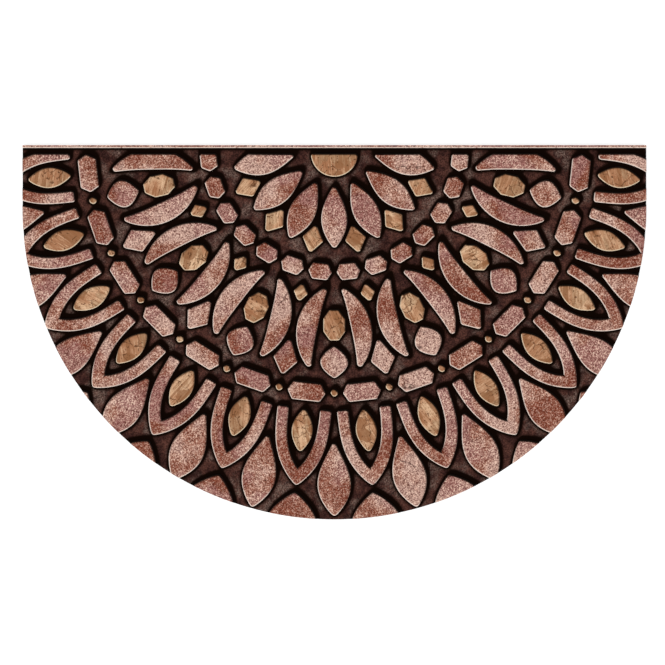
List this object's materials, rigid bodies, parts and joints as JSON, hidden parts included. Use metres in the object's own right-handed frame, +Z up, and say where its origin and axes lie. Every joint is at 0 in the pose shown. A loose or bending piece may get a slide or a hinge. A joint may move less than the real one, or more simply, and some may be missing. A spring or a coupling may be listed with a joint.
{
  "type": "half-round relief doormat",
  "caption": "Half-round doormat of moulded rubber with a printed flock face in low relief; its straight edge lies against the door sill.",
  "frame": {"origin": "on the underside, at the middle of the mat's length and depth", "axes": "+X along the straight door edge, +Y towards the door edge, +Z up out of the printed face"},
  "size_m": [0.75, 0.45, 0.008],
  "materials": {
    "mat": "matt printed flock on moulded crumb rubber, pinkish-brown stone and tan wood colours over a dark brown ground"
  },
  "bodies": {
    "root": {"mat": "mat"}
  },
  "joints": []
}
